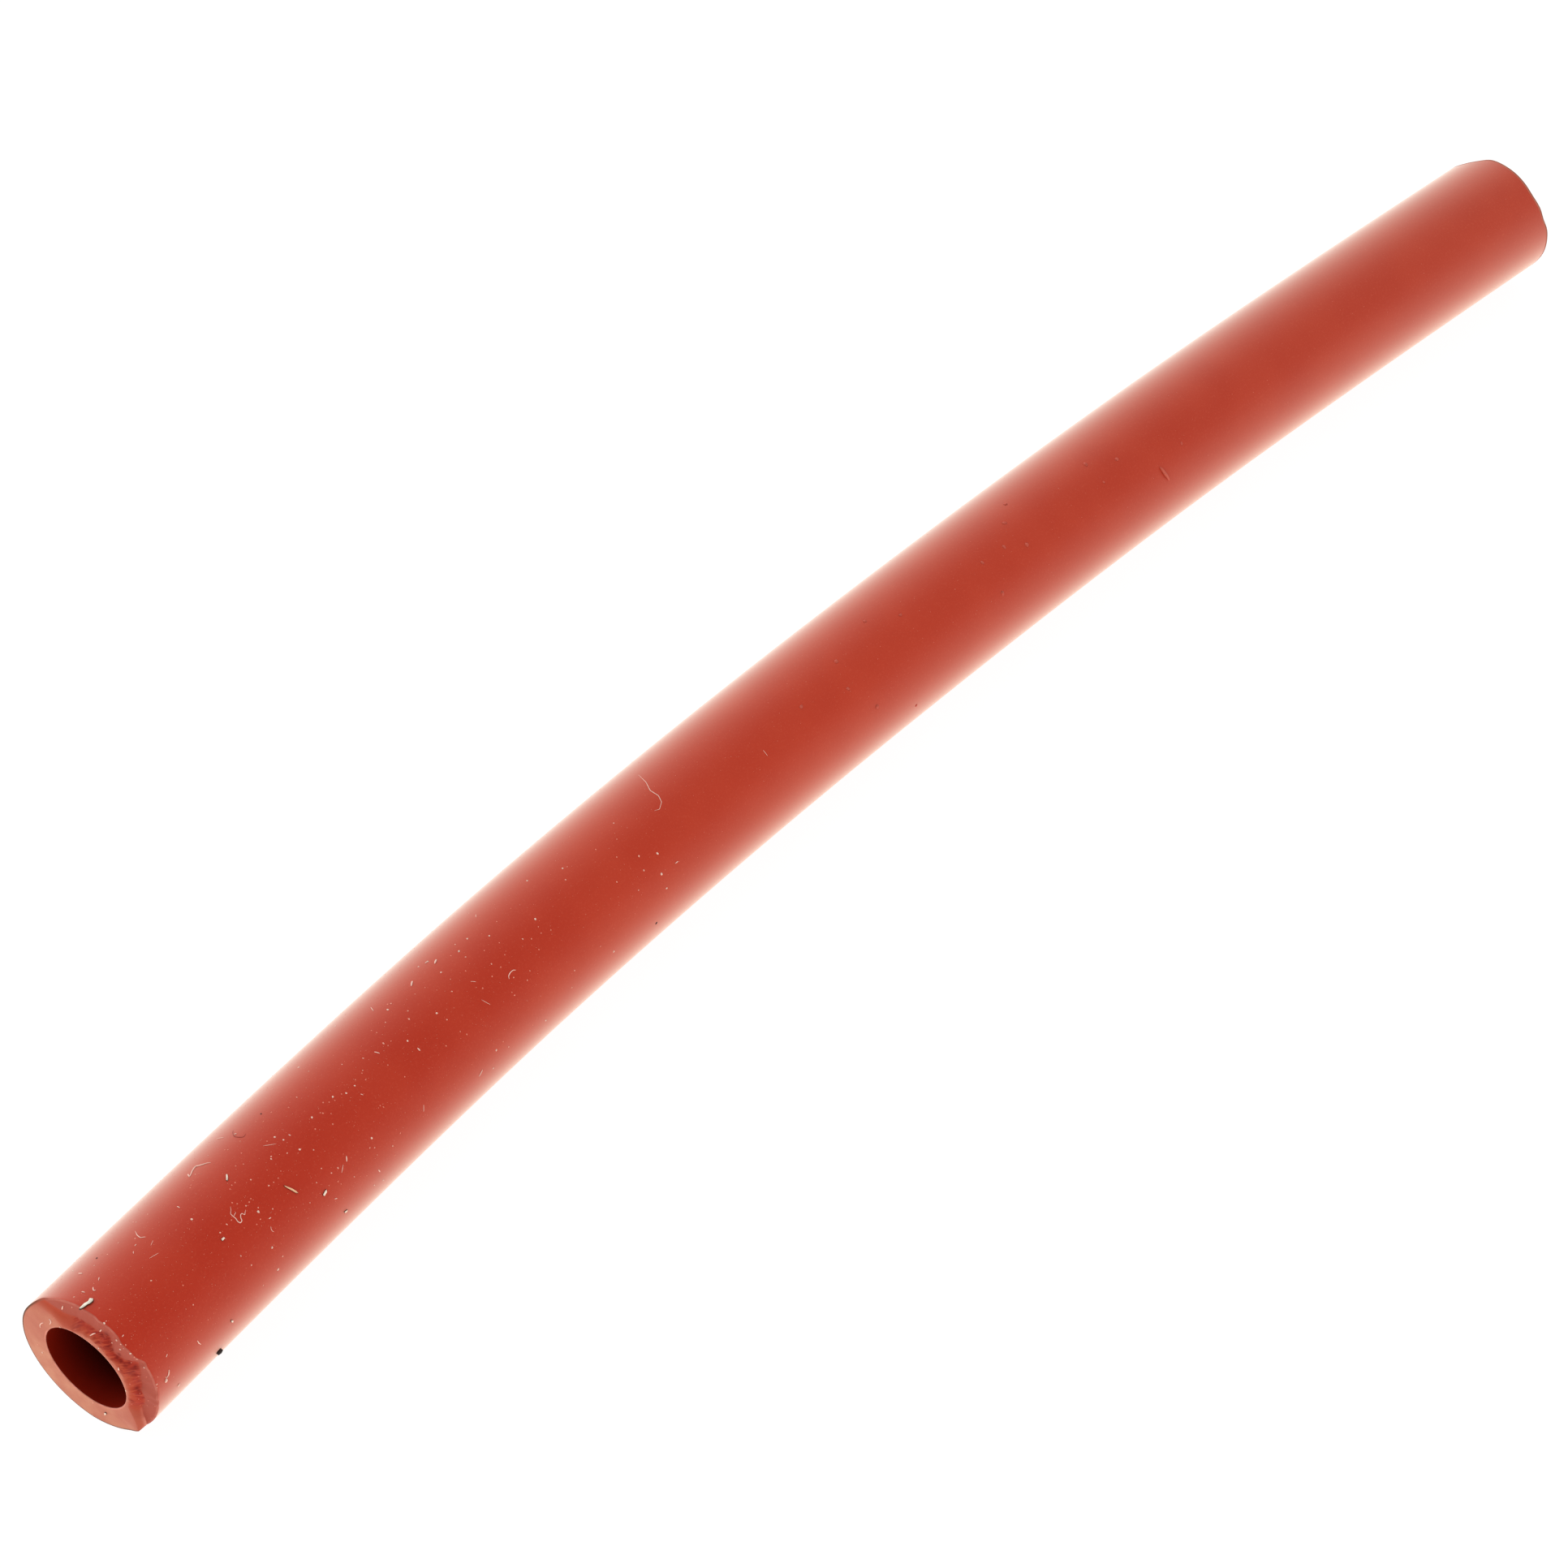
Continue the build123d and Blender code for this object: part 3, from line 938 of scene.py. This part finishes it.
MIDDLE_SPECKS = [
    (182, 1496), (163.9, 1505.8), (167.7, 1505.8), (166.4, 1525.9), (145.9, 1531.2),
    (132.5, 1545.4), (116.2, 1559.2), (91.3, 1598), (186.1, 1577.9), (318.2, 1488), (256.3, 1423.9),
    (296.8, 1547.3), (309.8, 1558.8), (238.1, 1607.6), (46.3, 1656.5), (88.6, 1610.6),
    (131, 1627.8), (148.8, 1656.5), (168.6, 1675), (114.4, 1728.6), (193.5, 1709.5),
    (421.4, 1311.5), (447.5, 1303.9), (446.9, 1318.9), (472.5, 1285.6), (380.3, 1320),
    (335, 1342.4), (365.7, 1351.9), (455.7, 1414.4), (461.6, 1414.1), (483.9, 1412.1),
    (386.4, 1416.8), (396, 1439.6), (416.4, 1439.1), (408.4, 1445.3), (436.5, 1450), (348.4, 1548),
    (324.4, 1583.9), (382, 1482.1), (697, 1084), (787.3, 1054.8), (793.4, 1072.4), (786.8, 1096.7),
    (573.7, 1179.1), (704.6, 1216.8), (649.6, 1207.7), (644, 1156.9), (632.9, 1204.3),
    (605.6, 1187.6), (577.7, 1125.3), (481.7, 1236.5), (474.9, 1259.6), (502.7, 1245.6),
    (504.1, 1255.6), (556.7, 1221.6), (550.8, 1256.3), (303.2, 1485.8), (336, 1489.6),
    (279.6, 1508.7), (271.3, 1518.9), (240.5, 1446.8), (390, 1457.1), (353.9, 1420.8),
    (334.1, 1425.1), (309, 1453.6), (331.3, 1460.8), (756.2, 1014.2), (760, 1086.7), (708, 1196),
    (560.7, 1163.7), (626.7, 1290), (152.3, 1661.8), (193.3, 1705.8),
]
SMALL_SPECKS = [
    (125.2, 1545.4), (225.5, 1583.7), (256.3, 1626.1), (135.4, 1613.4), (154.9, 1657.2),
    (161.8, 1678.9), (172.4, 1716.9), (170.9, 1723.8), (182.6, 1725.8), (181.4, 1731.8),
    (194.5, 1696.7), (213.9, 1696.5), (286.1, 1481.9), (292.3, 1483.2), (307.1, 1481.2),
    (309, 1477), (321, 1502.3), (285.1, 1503.4), (316.3, 1508.7), (245.1, 1445.8), (238, 1454.4),
    (235.2, 1460.3), (234.5, 1463.5), (437.9, 1330.5), (450.5, 1330.4), (445.9, 1322.3),
    (478.1, 1288.3), (477.9, 1312.3), (498.7, 1326.7), (420.9, 1348.1), (398.3, 1358.5),
    (412.7, 1355.9), (405.5, 1358), (468.4, 1362.3), (472.5, 1364), (394.5, 1371.1),
    (397.9, 1371.7), (407.9, 1372.3), (334.4, 1370.3), (324.5, 1381.7), (315.3, 1382),
    (355.5, 1364.5), (410, 1385.1), (388.5, 1391.2), (296, 1406.1), (329.1, 1406.1),
    (276.9, 1416.9), (280.8, 1416.9), (297.6, 1420.8), (300, 1434.4), (290.5, 1436.7),
    (493.3, 1396.1), (464.7, 1422.9), (486.7, 1423.5), (452, 1448.8), (420.3, 1458.8),
    (416.7, 1455.7), (405.6, 1460.7), (346.1, 1442.9), (342.8, 1451.5), (337.2, 1456.8),
    (289.6, 1457.1), (285.7, 1460.3), (283.5, 1465.1), (699, 1068), (678.7, 1146), (663.3, 1142),
    (666.7, 1149.7), (654.9, 1156.8), (615.2, 1161.6), (612, 1135.6), (596.7, 1171.2),
    (621.9, 1176.4), (664.1, 1170), (616.9, 1191.5), (555.6, 1177.5), (531.9, 1166.9),
    (573.7, 1196.3), (523.7, 1216.8), (511.3, 1224.8), (554.9, 1206.5), (606.4, 1203.1),
    (594.7, 1217.6), (630.9, 1222.7), (634, 1226.4), (652.9, 1196.3), (465.3, 1229.3),
    (477.7, 1237.3), (567.1, 1271.1), (575.1, 1274.4), (457.6, 1269.7), (464.1, 1272.3),
    (481.7, 1282.9), (549.6, 1288.7), (620, 1283.6), (666, 1273.3), (656.7, 1263), (702, 1031),
    (760, 1034), (734, 1046.7), (760, 1056), (740, 1166), (576, 1156), (186.1, 1747.1),
    (160.2, 1705.5), (165.5, 1672), (170.6, 1695.7), (180.5, 1696.7), (172.6, 1731.6), (191, 1733),
    (162.3, 1730), (66.8, 1623.7),
]
FADED_SPOTS = [
    (1044.9, 848.9), (1109.5, 757.9), (1237.3, 644.5), (1265.1, 671.2), (1235.2, 731.2),
    (987, 871.2), (1376, 566), (1455.6, 546.2), (1237, 673.9), (1210, 693.3), (1030, 815),
    (1065.6, 765.6), (1238.9, 621.1), (1337, 572), (1360, 594), (1080.6, 871), (1128.9, 869.4),
]
LARGEST_SIZES = (2.9, 3.4)
LARGE_SIZES = (2.2, 2.8)
MIDDLE_SIZES = (1.8, 2.3)
SMALL_SIZES = (1.5, 1.9)
FADED_SIZES = (4.5, 7.0)
DARK_SPECKS = [(119.3, 1550.2), (321.6, 1372.4), (808.7, 1137.5)]
DARK_SIZES = (2.0, 3.5)
FINE_SPECKS = 3600
FINE_RADII = (0.009, 0.026)
FINE_SHRINK = (0.5, 1.0)
FINE_REACH = 34.0
FINE_START = 0.8
FINE_MARGIN = 1.0
FINE_SIDES = (10.0, 168.0)
ASKEW = (0.6, 0.64, 0.48)
SPECK_LENGTHS = (0.8, 1.4)
SPECK_FLATNESS = 0.6
SPECK_UNEVEN = (0.8, 1.2)
SPECK_SIDES = 6
SPECK_TURNS = [math.tau * side / SPECK_SIDES for side in range(SPECK_SIDES)]
SPECK_CORNERS = [(math.cos(turn), math.sin(turn), 0) for turn in SPECK_TURNS] + [(0, 0, 1), (0, 0, -0.5)]
SPECK_FACES = [(side, (side + 1) % SPECK_SIDES, SPECK_SIDES) for side in range(SPECK_SIDES)]
SPECK_FACES += [((side + 1) % SPECK_SIDES, side, SPECK_SIDES + 1) for side in range(SPECK_SIDES)]
chance = np.random.default_rng(23)


def speck(place, normal, radius):
    """A flattened six-sided grain with a top and a bottom corner, turned at random about the
    rubber's normal, with each corner pushed in or out by up to a fifth."""
    across = np.cross(normal, ASKEW)
    across /= np.linalg.norm(across)
    turn = chance.uniform(0, 2 * np.pi)
    first = np.cos(turn) * across + np.sin(turn) * np.cross(normal, across)
    longest = first * chance.uniform(*SPECK_LENGTHS)
    axes = np.array([longest, np.cross(normal, first), normal * SPECK_FLATNESS])
    uneven = np.array(SPECK_CORNERS) * chance.uniform(*SPECK_UNEVEN, (SPECK_SIDES + 2, 1))
    return place + radius * uneven @ axes, SPECK_FACES


def specks_on_pixels(pixels, sizes):
    """A grain at each of these pixels of the photograph, between the two sizes wide."""
    shapes = []
    for x, y in pixels:
        place, normal, pixel = on_tube(x, y)
        shapes.append(speck(place, normal, chance.uniform(*sizes) / 2 * pixel))
    return shapes


def fine_specks():
    """Grains on the skin: thickest at the near end and fewer as exp(-distance / FINE_REACH), spread
    evenly round the side that faces up."""
    length = line_reach[-1] / MM
    near_share = chance.uniform(0, 1, FINE_SPECKS)
    along = -FINE_REACH * np.log(1 - near_share * (1 - math.exp(-length / FINE_REACH))) + FINE_START
    degrees = chance.uniform(*FINE_SIDES, FINE_SPECKS)
    radii = chance.uniform(*FINE_RADII, FINE_SPECKS) * chance.uniform(*FINE_SHRINK, FINE_SPECKS)
    skin = np.full(FINE_SPECKS, OUTER_RADIUS)
    places = in_tube(along * MM, skin, degrees)
    normals = (places - in_tube(along * MM, skin * 0, degrees)) / OUTER_RADIUS
    on_skin = along < length - FINE_MARGIN
    grains = zip(places[on_skin], normals[on_skin], radii[on_skin] * MM)
    return [speck(place, normal, radius) for place, normal, radius in grains]


white = specks_on_pixels(LARGEST_SPECKS, LARGEST_SIZES) + specks_on_pixels(LARGE_SPECKS, LARGE_SIZES)
pink = specks_on_pixels(MIDDLE_SPECKS, MIDDLE_SIZES)
red = specks_on_pixels(SMALL_SPECKS, SMALL_SIZES)
faded = specks_on_pixels(FADED_SPOTS, FADED_SIZES)
add_dirt("white_dust", white, plain_dirt("white_dust", (1.0, 0.72, 0.62)))
add_dirt("pink_dust", pink, plain_dirt("pink_dust", (1.0, 0.5, 0.4)))
add_dirt("red_dust", red, plain_dirt("red_dust", (0.96, 0.31, 0.22)))
add_dirt("faded_dust", faded, plain_dirt("faded_dust", (0.6, 0.085, 0.05)))
add_dirt("fine_dust", fine_specks(), plain_dirt("fine_dust", (0.76, 0.22, 0.15)))
dark = specks_on_pixels(DARK_SPECKS, DARK_SIZES)
add_dirt("dark_specks", dark, plain_dirt("dark_grit", (0.04, 0.02, 0.015)))

# Bench and light
# A plain white bench inside a white light tent. The tent is open in a wide band over the camera's
# side, so the tube is darkest where it faces that band and pale along both its sides. The bench is
# lit a little from below, is white to the camera and in reflections, and keeps a faint shadow.
BENCH_REACH = 3.0
BENCH_WHITE = 0.88
BENCH_GLOW = 0.68
BENCH_WARMTH = (1.0, 0.78, 0.58, 1)
BENCH_SEEN = 0.85
TENT_WHITE = 1.52
TENT_OPENING = 0.6
TENT_COLOUR = (1.0, 0.98, 0.93, 1)
OPENING_EDGES = (0.3, 1.0)
OPENING_SIDE = (0.0, -0.831, -0.555)


def white_bench():
    """The bench's white, lit and glowing faintly. To the camera most of it is plain white, and in
    reflections and through glass all of it."""
    finish = Finish("white_bench")
    ray_kind = "ShaderNodeLightPath"
    seen = finish.node(ray_kind, output="Is Camera Ray") * BENCH_SEEN
    mirrored = finish.node(ray_kind, output="Is Glossy Ray")
    mirrored = mirrored + finish.node(ray_kind, output="Is Transmission Ray")
    cloth = finish.node("ShaderNodeBsdfDiffuse", {}, {"Color": (BENCH_WHITE, BENCH_WHITE, BENCH_WHITE, 1)})
    glow = finish.mixed(finish.node(ray_kind, output="Is Camera Ray"), BENCH_WARMTH, (1, 1, 1, 1))
    below = finish.node("ShaderNodeEmission", {}, {"Color": glow, "Strength": BENCH_GLOW})
    lit = finish.node("ShaderNodeAddShader", {}, {0: cloth, 1: below})
    white = finish.node("ShaderNodeEmission", {}, {"Strength": 1.0})
    return finish.show(finish.node("ShaderNodeMixShader", {}, {0: seen + mirrored, 1: lit, 2: white}))


def light_tent():
    """White all round for the camera. Its light goes by the size of the direction's part along
    OPENING_SIDE: TENT_OPENING up to the first of OPENING_EDGES, and TENT_WHITE from the second on."""
    tent = Finish("light_tent", bpy.data.worlds)
    direction = tent.node("ShaderNodeTexCoord", output="Generated")
    dot_product = {"operation": "DOT_PRODUCT"}
    sockets = {0: direction, 1: OPENING_SIDE}
    aside = tent.node("ShaderNodeVectorMath", dot_product, sockets, output="Value")
    light = TENT_OPENING + (TENT_WHITE - TENT_OPENING) * aside.size().ramp(*OPENING_EDGES)
    seen = tent.node("ShaderNodeLightPath", output="Is Camera Ray")
    strength = light + seen * (1 - light)
    colour = tent.mixed(seen, TENT_COLOUR, (1, 1, 1, 1))
    background = tent.node("ShaderNodeBackground", {}, {"Color": colour, "Strength": strength})
    return tent.show(background, "ShaderNodeOutputWorld")


bench_corners = np.array([(-1, -1, 0), (1, -1, 0), (1, 1, 0), (-1, 1, 0)]) * BENCH_REACH
bench = add_piece("bench", bench_corners, [[0, 1, 2, 3]])
bench.data.materials.append(white_bench())
bpy.context.scene.world = light_tent()

bpy.context.scene.view_settings.view_transform = "Standard"
